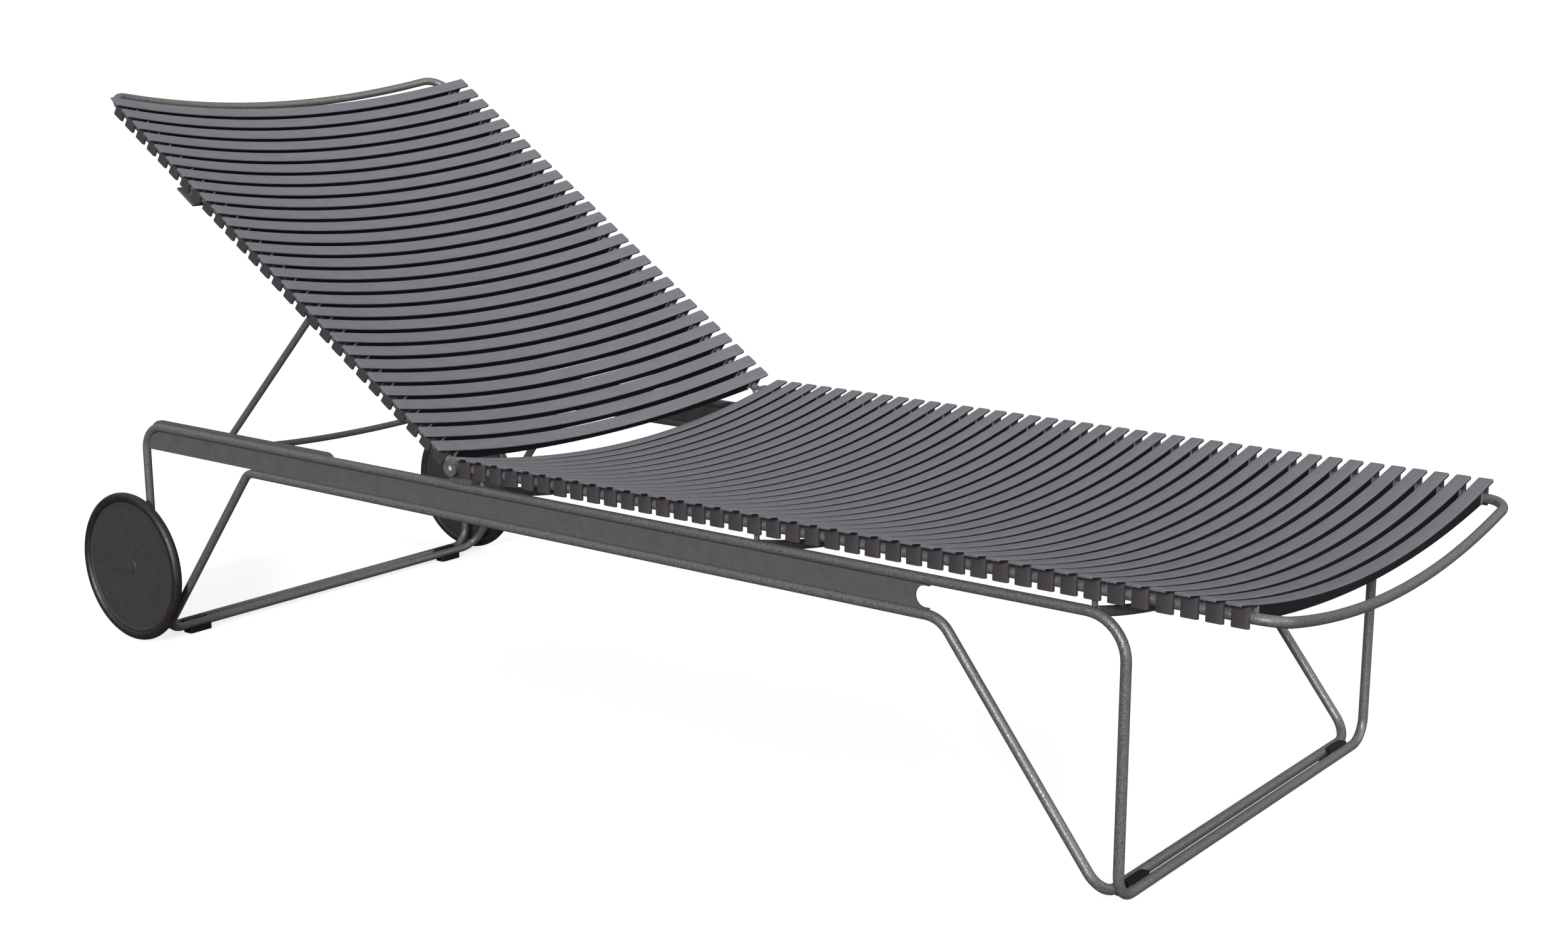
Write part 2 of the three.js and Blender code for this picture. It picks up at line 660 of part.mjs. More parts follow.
// A flat disc with a boss towards the frame and a groove round its edge for the tyre.
function wheelDisc(side) {
  const seat = TYRE_R + GAP;
  const rim = WHEEL_R - TYRE_R - Math.sqrt(seat * seat - DISC_HALF * DISC_HALF);
  const bore = AXLE_R + 0.3;
  return turnedY([
    [bore, -13.5],
    [12, -13.5],
    [14, -DISC_HALF],
    [rim, -DISC_HALF],
    [WHEEL_R - TYRE_R - seat - 0.1, 0],
    [rim, DISC_HALF],
    [bore, DISC_HALF],
    [bore, -13.5],
  ], side, 36);
}

function buildWheels(frame, wheels) {
  for (const [word, side] of SIDES) {
    const group = wheels[word];
    addPiece(group, `tyre_${word}`, tyre(side), "tyre");
    addPiece(group, `wheel_disc_${word}`, wheelDisc(side), "disc");
    const inner = DISC_HALF + GAP;
    const cap = turnedY([[0, inner], [9.5, inner], [9, 5.2], [2, 5.7], [0, 5.7]], side, 24);
    addPiece(group, `hub_cap_${word}`, cap, "disc");
    // A lug on the outside of the rear leg holds the axle bolt behind it.
    const lug = shapeOf([
      [WHEEL_X - 12, WHEEL_Z - 8], [WHEEL_X - 8, WHEEL_Z - 12], [-664, WHEEL_Z - 26], [-661, WHEEL_Z - 22],
      [-661, WHEEL_Z + 22], [-664, WHEEL_Z + 26], [WHEEL_X - 8, WHEEL_Z + 12], [WHEEL_X - 12, WHEEL_Z + 8],
    ]);
    const bore = new THREE.Path();
    bore.absarc(WHEEL_X, WHEEL_Z, AXLE_R + GAP, 0, 2 * Math.PI, true);
    lug.holes.push(bore);
    addPiece(frame, `axle_lug_${word}`, plateXZ(lug, ...span(side, 334.7, 339), 12), "plate");
    const shank = roundY(WHEEL_X, WHEEL_Z, AXLE_R, ...span(side, 330, WHEEL_Y + DISC_HALF), 16);
    const head = roundY(WHEEL_X, WHEEL_Z, 7, ...span(side, 328.5, 334.3), 6);
    const collar = roundY(WHEEL_X, WHEEL_Z, 8, ...span(side, 339.1, 340.7), 16);
    addPiece(frame, `axle_bolt_${word}`, joined([shank, head, collar]), "steel");
  }
}

// ---- Assembly ----

const lounger = new THREE.Group();
const frame = new THREE.Group();
frame.position.set(HINGE_X, 0, 0);
lounger.add(frame);

const backrest = new THREE.Group();
backrest.position.set(0, 0, HINGE_Z);
backrest.rotation.y = radians(RECLINE_REST);
frame.add(backrest);

const stay = new THREE.Group();
stay.position.set(-STAY_PIVOT_X, 0, -STAY_PIVOT_DROP);
stay.rotation.y = -radians(RECLINE_REST + STAY_ANGLE);
backrest.add(stay);

const wheels = {};
for (const [word, side] of SIDES) {
  wheels[word] = new THREE.Group();
  wheels[word].position.set(WHEEL_X, side * WHEEL_Y, WHEEL_Z);
  frame.add(wheels[word]);
}

buildFrame(frame);
buildPads(frame);
buildSeatSlats(frame);
buildHinge(frame, backrest);
buildBackrest(backrest);
buildBackSlats(backrest);
buildStay(stay);
buildWheels(frame, wheels);

export default lounger;
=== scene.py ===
"""The looks of a reclining sun lounger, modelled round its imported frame.

Metres and radians, +X to the foot end, +Z up. The backrest is drawn lying level, with the hinge at
the origin, and is then turned up to its resting angle, because its slats and tube are square to it.
"""

import json
import math

import bmesh
import bpy
from mathutils import Matrix, Vector


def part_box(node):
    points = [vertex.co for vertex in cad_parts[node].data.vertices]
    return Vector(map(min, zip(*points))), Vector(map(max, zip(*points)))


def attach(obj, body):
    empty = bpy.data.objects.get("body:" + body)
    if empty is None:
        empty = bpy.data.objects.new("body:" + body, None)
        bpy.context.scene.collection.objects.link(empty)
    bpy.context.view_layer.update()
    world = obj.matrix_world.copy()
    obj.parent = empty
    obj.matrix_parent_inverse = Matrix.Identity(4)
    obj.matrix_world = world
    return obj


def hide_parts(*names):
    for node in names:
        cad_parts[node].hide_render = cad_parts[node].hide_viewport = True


bl_info = {
    "name": "Slatted sun lounger",
    "version": (1, 0, 0),
    "blender": (4, 5, 0),
    "location": "View3D > Sidebar > Lounger",
    "description": "Models a tube-framed sun lounger with bowed slats, a backrest and wheels",
    "category": "Add Mesh",
}

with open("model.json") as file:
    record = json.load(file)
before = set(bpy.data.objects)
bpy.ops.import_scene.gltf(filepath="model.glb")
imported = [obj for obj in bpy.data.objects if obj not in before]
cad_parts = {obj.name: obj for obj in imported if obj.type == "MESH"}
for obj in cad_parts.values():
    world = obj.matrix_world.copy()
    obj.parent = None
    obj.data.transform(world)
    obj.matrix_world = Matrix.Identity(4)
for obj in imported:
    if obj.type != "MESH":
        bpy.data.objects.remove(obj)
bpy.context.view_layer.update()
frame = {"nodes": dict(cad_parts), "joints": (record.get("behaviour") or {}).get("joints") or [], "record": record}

MM = 0.001
SIDES = (("near", -1), ("far", 1))

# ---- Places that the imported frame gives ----

JOINTS = {joint["name"]: joint for joint in frame["joints"]}
HINGE = Vector(JOINTS["backrest_hinge"]["pos_m"])
STAY_PIVOT = Vector(JOINTS["stay_hinge"]["pos_m"])
RECLINE = -math.radians(JOINTS["backrest_hinge"]["range_deg"][0])


def middle_of(node):
    """The middle of a node's box."""
    low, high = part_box(node)
    return (low + high) / 2


# ---- Sizes that stay as the frame has them, in metres ----

RAIL_Y = 328 * MM
UPPER_Z = 334 * MM
LOWER_Z = 292 * MM
BASE_Z = 13 * MM
FRONT_LEG_X = 1007 * MM
REAR_LEG_X = -667 * MM
BASE_PITCH = 19.5 * MM
INNER_FRONT_X = 770 * MM
INNER_REAR_X = -431 * MM
FRONT_BEND = 50 * MM
REAR_BEND = 38 * MM
INNER_FRONT_BEND = 38 * MM
INNER_REAR_BEND = 24 * MM
BASE_BEND = 30 * MM
TUBE_START = 10 * MM
END_BEND = 30 * MM
FOOT_BOW_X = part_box("seat_frame")[1].x - HINGE.x - 6.25 * MM
HEAD_BOW_X = 840.1 * MM
CROSS_BARS = ("cross_bar_1", "cross_bar_2", "cross_bar_3")
CROSS_BAR_HALF = RAIL_Y - 3 * MM
BOW_STEPS = 32
SEAT_SLATS, SEAT_GROUP, SEAT_FIRST_X = 40, 8, 13.5 * MM
BACK_SLATS, BACK_GROUP, BACK_FIRST_X = 28, 7, 17.4 * MM
STAY_LENGTH = 312 * MM
STAY_HALF = 308.5 * MM
STAY_SAG = 33 * MM
STAY_BEND = 14 * MM
STAY_BELOW_LEVEL = math.radians(45.7)
PIN_EDGE = 0.5 * MM
SOFT_EDGE = 0.5 * MM

# ---- Sizes of a slat and its clips ----

PLATE_LIP = 0.9 * MM
PLATE_EDGE = 1.5 * MM
PLATE_CORNER = 2.2 * MM
SHADED_BELOW = 1.6 * MM
CHANNEL_HALF = 316 * MM
CHANNEL_DEPTH = 8.5 * MM
CHANNEL_HOLLOW = 8 * MM
CHANNEL_WALL = 1.8 * MM
CHANNEL_GROWTH = 7 * MM
CHANNEL_GROWTH_BELOW = 4.6 * MM
CHANNEL_GROWTH_HALF = 312 * MM
SLAT_LENGTHS = 22
CLIP_Y = 330 * MM
CLIP_FACE = 335 * MM
TONGUE_FACE = 8 * MM

# ---- Sizes of a wheel ----

TYRE_RING = 107.5 * MM
TYRE_SECTION = 7.5 * MM
DISC_RADIUS = 100.6 * MM
DISC_THICK = 7.8 * MM
DISC_FLAT = 84 * MM
HUB_RADIUS = 9.5 * MM
HUB_THICK = 1.4 * MM
HUB_OUT = 4.5 * MM

# ---- Directions ----

ACROSS = Vector((0, 1, 0))
DOWN = Vector((0, 0, -1))


class LoungerSizes(bpy.types.PropertyGroup):
    tube_radius: bpy.props.FloatProperty(
        name="Tube radius", description="Outer radius of every frame tube",
        default=6.25 * MM, min=3 * MM, max=20 * MM, subtype="DISTANCE", unit="LENGTH",
    )
    stay_radius: bpy.props.FloatProperty(
        name="Stay radius", description="Outer radius of the rod that props the backrest",
        default=5 * MM, min=2 * MM, max=12 * MM, subtype="DISTANCE", unit="LENGTH",
    )
    bow_sag: bpy.props.FloatProperty(
        name="Bow sag", description="How far the cross tubes hang below their ends",
        default=37 * MM, min=0, max=80 * MM, subtype="DISTANCE", unit="LENGTH",
    )
    slat_pitch: bpy.props.FloatProperty(
        name="Slat pitch", description="From one slat to the next",
        default=28.6 * MM, min=15 * MM, max=80 * MM, subtype="DISTANCE", unit="LENGTH",
    )
    slat_width: bpy.props.FloatProperty(
        name="Slat width", description="Width of a slat's top plate",
        default=20 * MM, min=10 * MM, max=60 * MM, subtype="DISTANCE", unit="LENGTH",
    )
    slat_length: bpy.props.FloatProperty(
        name="Slat length", description="Length of a slat across the lounger",
        default=705 * MM, min=400 * MM, max=900 * MM, subtype="DISTANCE", unit="LENGTH",
    )
    slat_sag: bpy.props.FloatProperty(
        name="Slat sag", description="How far a slat's middle hangs below its ends",
        default=39.3 * MM, min=0, max=80 * MM, subtype="DISTANCE", unit="LENGTH",
    )
    slat_top: bpy.props.FloatProperty(
        name="Slat end height", description="A slat's ends above the middle of its tube",
        default=20.5 * MM, min=10 * MM, max=40 * MM, subtype="DISTANCE", unit="LENGTH",
    )
    plate_thick: bpy.props.FloatProperty(
        name="Slat plate", description="Thickness of a slat's top plate",
        default=3.5 * MM, min=1 * MM, max=8 * MM, subtype="DISTANCE", unit="LENGTH",
    )


class LoungerColours(bpy.types.PropertyGroup):
    tube: bpy.props.StringProperty(
        name="Tube", description="Powder coat on the tubes, sRGB hex", default="#5e5e5d")
    plate: bpy.props.StringProperty(
        name="Plate", description="Powder coat on the plates, sRGB hex", default="#535152")
    slat: bpy.props.StringProperty(
        name="Slat", description="Moulded plastic of the slats, sRGB hex", default="#5c5a60")
    # Painted shade: a near-black colour for a slat's lower sides, standing for the deep shade between slats; the
    # plastic itself is one colour.
    channel: bpy.props.StringProperty(
        name="Slat channel", description="Plastic of a slat's shaded sides, sRGB hex",
        default="#121115")
    clip: bpy.props.StringProperty(
        name="Slat clip", description="Moulded plastic of the slat clips, sRGB hex",
        default="#373337")
    wheel: bpy.props.StringProperty(
        name="Wheel disc", description="Moulded plastic of the wheels, sRGB hex", default="#2d2c2c")
    tyre: bpy.props.StringProperty(
        name="Tyre", description="Rubber of the tyres, sRGB hex", default="#17110f")
    pad: bpy.props.StringProperty(
        name="Ground pad", description="Rubber of the ground pads, sRGB hex", default="#0a0a0a")
    steel: bpy.props.StringProperty(
        name="Pins and bolts", description="Zinc plated steel, sRGB hex", default="#dededa")
    floor: bpy.props.StringProperty(
        name="Floor", description="Studio floor, sRGB hex", default="#959595")


# ---- Materials ----

SLAT = "moulded_polypropylene"
CLIP = "moulded_polypropylene_clip"
# The same plastic in a near-black colour on a slat's lower sides: painted shade between the slats.
PAINTED_SIDE_SHADE = "moulded_polypropylene_channel"


def linear(hex_colour):
    """A linear RGBA colour from sRGB hex."""
    values = [int(hex_colour[i:i + 2], 16) / 255 for i in (1, 3, 5)]
    curved = [v / 12.92 if v <= 0.04045 else ((v + 0.055) / 1.055) ** 2.4 for v in values]
    return (*curved, 1.0)


def per_mm(size_mm):
    """The noise scale that gives features of a real size, on coordinates in metres."""
    return 1 / (size_mm * MM)


def add_node(tree, kind, inputs, **settings):
    """Adds a node with its settings, and links or sets its inputs."""
    made = tree.nodes.new(kind)
    for name, value in settings.items():
        setattr(made, name, value)
    for name, value in inputs.items():
        if isinstance(value, bpy.types.NodeSocket):
            tree.links.new(value, made.inputs[name])
        else:
            made.inputs[name].default_value = value
    return made


def new_material(name, base):
    """A material with its shader and its Object coordinates."""
    material = bpy.data.materials.new(name)
    material.use_nodes = True
    material.diffuse_color = base
    tree = material.node_tree
    tree.nodes.clear()
    place = add_node(tree, "ShaderNodeTexCoord", {}).outputs["Object"]
    shader = add_node(tree, "ShaderNodeBsdfPrincipled", {"Base Color": base})
    add_node(tree, "ShaderNodeOutputMaterial", {"Surface": shader.outputs["BSDF"]})
    return material, tree, place, shader


def mottled(tree, place, base, size_mm, low, high, detail=3.0):
    """The base colour, darker and lighter in soft patches of a real size."""
    factor, first, second, result = 0, 6, 7, 2  # a colour Mix's sockets share names with others
    noise = add_node(tree, "ShaderNodeTexNoise",
                     {"Vector": place, "Scale": per_mm(size_mm), "Detail": detail})
    dark = tuple(c * low for c in base[:3]) + (1.0,)
    light = tuple(min(1.0, c * high) for c in base[:3]) + (1.0,)
    mixed = add_node(tree, "ShaderNodeMix", {}, data_type="RGBA")
    spread = add_node(tree, "ShaderNodeMapRange",
                      {"Value": noise.outputs["Fac"], "From Min": 0.3, "From Max": 0.7})
    tree.links.new(spread.outputs["Result"], mixed.inputs[factor])
    mixed.inputs[first].default_value = dark
    mixed.inputs[second].default_value = light
    return mixed.outputs[result]


def ranged_noise(tree, place, size_mm, low, high, detail=2.0):
    """A number that wanders between two values in patches of a real size."""
    noise = add_node(tree, "ShaderNodeTexNoise",
                     {"Vector": place, "Scale": per_mm(size_mm), "Detail": detail})
    spread = add_node(tree, "ShaderNodeMapRange",
                      {"Value": noise.outputs["Fac"], "From Min": 0.3, "From Max": 0.7,
                       "To Min": low, "To Max": high})
    return spread.outputs["Result"]


def bumped(tree, place, size_mm, height_mm, strength, detail=2.0):
    """A normal from fine grain of a real size and height."""
    noise = add_node(tree, "ShaderNodeTexNoise",
                     {"Vector": place, "Scale": per_mm(size_mm), "Detail": detail})
    bump = add_node(tree, "ShaderNodeBump",
                    {"Height": noise.outputs["Fac"], "Distance": height_mm * MM,
                     "Strength": strength})
    return bump.outputs["Normal"]


def textured_powder_coat(colours):
    # Polyester powder baked on steel in a fine-texture finish: a tight pebble that breaks each
    # highlight into bright grains, with little change of colour. The grain is drawn about twice
    # its real size so that it shows.
    base = linear(colours.tube)
    material, tree, place, shader = new_material("textured_powder_coat", base)
    tree.links.new(mottled(tree, place, base, 1.8, 0.62, 1.5), shader.inputs["Base Color"])
    tree.links.new(ranged_noise(tree, place, 2.2, 0.28, 0.50), shader.inputs["Roughness"])
    tree.links.new(bumped(tree, place, 1.6, 0.5, 0.9), shader.inputs["Normal"])
    shader.inputs["Metallic"].default_value = 0.35
    return material


def plate_powder_coat(colours):
    # The same coat on flat plate lies smoother: an even dark satin with faint orange peel.
    base = linear(colours.plate)
    material, tree, place, shader = new_material("plate_powder_coat", base)
    tree.links.new(mottled(tree, place, base, 9.0, 0.93, 1.06), shader.inputs["Base Color"])
    tree.links.new(ranged_noise(tree, place, 14.0, 0.42, 0.55), shader.inputs["Roughness"])
    tree.links.new(bumped(tree, place, 1.5, 0.10, 0.5), shader.inputs["Normal"])
    shader.inputs["Metallic"].default_value = 0.2
    return material


def moulded_polypropylene(name, hex_colour, dullness, shine=0.5):
    # Injection-moulded polypropylene with UV black in it: a soft satin, slightly streaked along
    # the flow of the plastic, with shine rubbed unevenly by use. The sides of the slats take it in a darker,
    # duller copy: painted shade for the deep shade between one slat and the next, as the plastic is one colour.
    base = linear(hex_colour)
    material, tree, place, shader = new_material(name, base)
    flow = add_node(tree, "ShaderNodeMapping", {"Vector": place, "Scale": (1.0, 0.12, 1.0)})
    streaks = mottled(tree, flow.outputs["Vector"], base, 7.0, 0.92, 1.07)
    tree.links.new(streaks, shader.inputs["Base Color"])
    tree.links.new(ranged_noise(tree, place, 30.0, dullness - 0.05, dullness + 0.06),
                   shader.inputs["Roughness"])
    tree.links.new(bumped(tree, place, 0.8, 0.04, 0.35), shader.inputs["Normal"])
    shader.inputs["IOR"].default_value = 1.49
    shader.inputs["Specular IOR Level"].default_value = shine
    return material


def wheel_plastic(colours):
    # Moulded ABS disc: flat, even and almost matt, scuffed by grit in faint lighter specks.
    base = linear(colours.wheel)
    material, tree, place, shader = new_material("moulded_abs", base)
    tree.links.new(mottled(tree, place, base, 5.0, 0.93, 1.10, 5.0), shader.inputs["Base Color"])
    tree.links.new(ranged_noise(tree, place, 12.0, 0.45, 0.60), shader.inputs["Roughness"])
    tree.links.new(bumped(tree, place, 1.0, 0.05, 0.4), shader.inputs["Normal"])
    shader.inputs["IOR"].default_value = 1.53
    return material


def tyre_rubber(colours):
    # Solid rubber ring, brown-black, dulled by dust where it rolls.
    base = linear(colours.tyre)
    material, tree, place, shader = new_material("solid_rubber", base)
    tree.links.new(mottled(tree, place, base, 8.0, 0.8, 1.35, 4.0), shader.inputs["Base Color"])
    tree.links.new(ranged_noise(tree, place, 10.0, 0.38, 0.60), shader.inputs["Roughness"])
    tree.links.new(bumped(tree, place, 1.2, 0.08, 0.5), shader.inputs["Normal"])
    shader.inputs["IOR"].default_value = 1.52
    return material


def pad_rubber(colours):
    # Moulded EPDM pad: near black with a dull sheen and pressed-in dust.
    base = linear(colours.pad)
    material, tree, place, shader = new_material("moulded_epdm", base)
    tree.links.new(mottled(tree, place, base, 4.0, 0.7, 1.6, 4.0), shader.inputs["Base Color"])
    tree.links.new(ranged_noise(tree, place, 6.0, 0.45, 0.70), shader.inputs["Roughness"])
    tree.links.new(bumped(tree, place, 0.9, 0.08, 0.5), shader.inputs["Normal"])
    shader.inputs["Specular IOR Level"].default_value = 0.25
    return material


def zinc_plated_steel(colours):
    # Turned steel with clear-passivated zinc: pale silver and satin, with fine cloudy patches.
    base = linear(colours.steel)
    material, tree, place, shader = new_material("zinc_plated_steel", base)
    tree.links.new(mottled(tree, place, base, 2.5, 0.88, 1.05), shader.inputs["Base Color"])
    tree.links.new(ranged_noise(tree, place, 1.8, 0.35, 0.50), shader.inputs["Roughness"])
    tree.links.new(bumped(tree, place, 0.6, 0.03, 0.4), shader.inputs["Normal"])
    shader.inputs["Metallic"].default_value = 0.4
    return material


def paint(piece, *names):
    """Gives a piece its materials, in order of their index."""
    piece.data.materials.clear()
    for name in names:
        piece.data.materials.append(bpy.data.materials[name])


# ---- Modelling moves ----


def deselect_all():
    if bpy.context.mode != "OBJECT":
        bpy.ops.object.mode_set(mode="OBJECT")
    bpy.ops.object.select_all(action="DESELECT")


def start_edit():
    """Puts the new primitive's place into its mesh and opens it for editing, with all selected."""
    bpy.ops.object.transform_apply(location=True, rotation=True, scale=True)
    bpy.ops.object.mode_set(mode="EDIT")
    bpy.ops.mesh.select_all(action="SELECT")


def pick(kind, test):
    """Selects only the vertices, edges or faces that pass a test."""
    bpy.ops.mesh.select_all(action="DESELECT")
    bpy.ops.mesh.select_mode(type={"verts": "VERT", "edges": "EDGE", "faces": "FACE"}[kind])
    mesh = bmesh.from_edit_mesh(bpy.context.object.data)
    for element in getattr(mesh, kind):
        if test(element):
            element.select_set(True)
    mesh.select_flush_mode()
    bmesh.update_edit_mesh(bpy.context.object.data)


def end_edit(name, angle=35):
    """Merges doubles, turns faces outwards and smooths all but the sharp edges."""
    bpy.ops.mesh.select_all(action="SELECT")
    bpy.ops.mesh.remove_doubles(threshold=0.01 * MM)
    bpy.ops.mesh.normals_make_consistent(inside=False)
    bpy.ops.object.mode_set(mode="OBJECT")
    piece = bpy.context.object
    piece.name = piece.data.name = name
    bpy.ops.object.shade_smooth_by_angle(angle=math.radians(angle))
    return piece


def box_piece(low, high):
    """A block between two corners, left in edit mode with all of it selected."""
    deselect_all()
    low, high = Vector(low), Vector(high)
    bpy.ops.mesh.primitive_cube_add(size=1, location=(low + high) / 2, scale=high - low)
    start_edit()


def bevel_edges(test, offset, segments):
    """Rounds or chamfers the edges that pass a test."""
    pick("edges", test)
    bpy.ops.mesh.bevel(offset=offset, segments=segments, affect="EDGES")


def is_level(edge):
    """Whether an edge stays at one place across the lounger, as on a round end."""
    return abs(edge.verts[0].co.y - edge.verts[1].co.y) < 0.01 * MM


def join_pieces(pieces, name):
    """Joins pieces into the first one."""
    deselect_all()
    for piece in pieces:
        piece.select_set(True)
    bpy.context.view_layer.objects.active = pieces[0]
    bpy.ops.object.join()
    pieces[0].name = pieces[0].data.name = name
    return pieces[0]


def run(offset):
    """Carries the selected ring or face straight on."""
    bpy.ops.mesh.extrude_region_move(TRANSFORM_OT_translate={"value": offset})


def turn(centre, axis, angle, steps):
    """Carries the selected ring round a centre, by the right hand about the axis."""
    bpy.ops.mesh.spin(steps=steps, angle=-angle, center=centre, axis=axis)


def start_tube(here, heading, radius, sides=16):
    """The first ring of a tube, left in edit mode with all of it selected."""
    deselect_all()
    facing = Vector(heading).to_track_quat("Z", "Y").to_euler()
    bpy.ops.mesh.primitive_circle_add(
        vertices=sides, radius=radius, location=here, rotation=facing)
    start_edit()
    bpy.ops.mesh.select_mode(type="EDGE")


def bend_here(here, arriving, leaving, bend, steps=10):
    """Carries the ring round a bend that starts here, and gives the point where it ends."""
    angle = arriving.angle(leaving)
    axis = arriving.cross(leaving).normalized()
    turn(here + axis.cross(arriving) * bend, axis, angle, steps)
    return here + (arriving + leaving) * bend * math.tan(angle / 2)


def round_corner(here, corner, ahead, bend):
    """Carries the ring up to a corner and round it, and gives the point where the bend ends."""
    arriving, leaving = (corner - here).normalized(), ahead.normalized()
    begin = corner - arriving * bend * math.tan(arriving.angle(leaving) / 2)
    run(begin - here)
    return bend_here(begin, arriving, leaving, bend)


def cap_ends(ends):
    """Closes a tube with a flat face at each of its two ends."""
    for end, heading in ends:
        def on_rim(edge):
            return all(
                abs((v.co - end).dot(heading)) < 0.05 * MM and (v.co - end).length < 15 * MM
                for v in edge.verts
            ) and len(edge.link_faces) == 1
        pick("edges", on_rim)
        bpy.ops.mesh.edge_face_add()


def bend_loop(name, corners, radius):
    """A tube bent into a closed loop. It starts in the middle of the run to the first corner."""
    points = [point for point, _ in corners]
    start = (points[-1] + points[0]) / 2
    start_tube(start, points[0] - start, radius)
    here = start
    for i, (point, bend) in enumerate(corners):
        here = round_corner(here, point, points[(i + 1) % len(points)] - point, bend)
    run(start - here)
    return end_edit(name)


def bow_slope(out, dip, half, bend, sag):
    """The slope at a bow's ends that makes its middle stand off by the sag along dip."""
    slope = 0.2
    for _ in range(20):
        leaving = ACROSS * math.cos(slope) + dip * math.sin(slope)
        reach = bend * math.tan(out.angle(leaving) / 2)
        depth = ((half - reach * math.cos(slope)) * math.tan(slope / 2)
                 + reach * math.sin(slope))
        slope *= sag / depth
    return slope


def bend_bowed_u(name, start_x, end_x, dip, radius, half, bend, sag):
    """A level tube out along one side, across in a bow towards dip and back along the other."""
    out = Vector((math.copysign(1, end_x), 0, 0))
    slope = bow_slope(out, dip, half, bend, sag)
    falling = ACROSS * math.cos(slope) + dip * math.sin(slope)
    rising = ACROSS * math.cos(slope) - dip * math.sin(slope)
    begin = Vector((start_x, -half, 0))
    start_tube(begin, out, radius)
    here = round_corner(begin, Vector((end_x, -half, 0)), falling, bend)
    arc_radius = abs(here.y) / math.sin(slope)
    centre = here + (ACROSS * math.sin(slope) - dip * math.cos(slope)) * arc_radius
    turn(centre, dip.cross(ACROSS), 2 * slope, BOW_STEPS)
    here = bend_here(Vector((here.x, -here.y, here.z)), rising, -out, bend)
    finish = Vector((start_x, half, 0))
    run(finish - here)
    cap_ends([(begin, out), (finish, out)])
    return end_edit(name)


def place(piece, move):
    """Moves a finished piece's mesh, so that the piece's own origin stays at the world's."""
    piece.data.transform(move)
    piece.data.update()
    return piece


TO_FRAME = Matrix.Translation((HINGE.x, 0, 0))
TO_SEAT = Matrix.Translation(HINGE)
TO_BACKREST = TO_SEAT @ Matrix.Rotation(RECLINE, 4, "Y")


def finish_piece(piece, body, materials, replaced=()):
    """Gives a piece its materials, hides the nodes that it replaces and attaches it to its body."""
    paint(piece, *materials)
    if replaced:
        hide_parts(*replaced)
    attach(piece, body)
    return piece


# ---- Pieces ----


class LOUNGER_OT_finishes(bpy.types.Operator):
    """Makes the lounger's materials"""

    bl_idname = "lounger.finishes"
    bl_label = "Finishes"

    def execute(self, context):
        colours = context.scene.lounger_colours
        textured_powder_coat(colours)
        plate_powder_coat(colours)
        moulded_polypropylene(SLAT, colours.slat, 0.44)
        moulded_polypropylene(CLIP, colours.clip, 0.5)
        # The near-black copy for the slats' sides: painted shade between the slats.
        moulded_polypropylene(PAINTED_SIDE_SHADE, colours.channel, 0.6, 0.2)
        wheel_plastic(colours)
        tyre_rubber(colours)
        pad_rubber(colours)
        zinc_plated_steel(colours)
        return {"FINISHED"}


class LOUNGER_OT_hoops(bpy.types.Operator):
    """Bends the outer and inner hoops of the frame, each one closed loop of tube"""

    bl_idname = "lounger.hoops"
    bl_label = "Frame hoops"

    def execute(self, context):
        radius = context.scene.lounger_sizes.tube_radius
        hoops = {
            "outer_hoop": (FRONT_LEG_X, REAR_LEG_X, FRONT_LEG_X, REAR_LEG_X, UPPER_Z,
                           FRONT_BEND, REAR_BEND),
            "inner_hoop": (FRONT_LEG_X - BASE_PITCH, REAR_LEG_X + BASE_PITCH, INNER_FRONT_X,
                           INNER_REAR_X, LOWER_Z, INNER_FRONT_BEND, INNER_REAR_BEND),
        }
        for name, (foot_x, head_x, rail_front, rail_rear, rail_z, front, rear) in hoops.items():
            near = [
                (Vector((foot_x, -RAIL_Y, BASE_Z)), BASE_BEND),
                (Vector((rail_front, -RAIL_Y, rail_z)), front),
                (Vector((rail_rear, -RAIL_Y, rail_z)), rear),
                (Vector((head_x, -RAIL_Y, BASE_Z)), BASE_BEND),
            ]
            far = [(Vector((p.x, -p.y, p.z)), bend) for p, bend in reversed(near)]
            piece = place(bend_loop(name, near + far, radius), TO_FRAME)
            finish_piece(piece, "frame", ["textured_powder_coat"],
                         [f"{name}_near", f"{name}_far"])
        return {"FINISHED"}


class LOUNGER_OT_cross_bars(bpy.types.Operator):
    """Bends the hanging bars between the upper rails"""

    bl_idname = "lounger.cross_bars"
    bl_label = "Cross bars"

    def execute(self, context):
        sizes = context.scene.lounger_sizes
        for name in CROSS_BARS:
            middle = middle_of(name)
            arc_radius = (CROSS_BAR_HALF ** 2 + sizes.bow_sag ** 2) / (2 * sizes.bow_sag)
            slope = math.asin(CROSS_BAR_HALF / arc_radius)
            begin = Vector((middle.x, -CROSS_BAR_HALF, UPPER_Z))
            heading = Vector((0, math.cos(slope), -math.sin(slope)))
            start_tube(begin, heading, sizes.tube_radius)
            centre = Vector((middle.x, 0, UPPER_Z + arc_radius * math.cos(slope)))
            turn(centre, (1, 0, 0), 2 * slope, BOW_STEPS)
            finish = Vector((middle.x, CROSS_BAR_HALF, UPPER_Z))
            leaving = Vector((0, math.cos(slope), math.sin(slope)))
            cap_ends([(begin, heading), (finish, leaving)])
            finish_piece(end_edit(name + "_tube"), "frame",
                         ["textured_powder_coat"], [name])
        return {"FINISHED"}


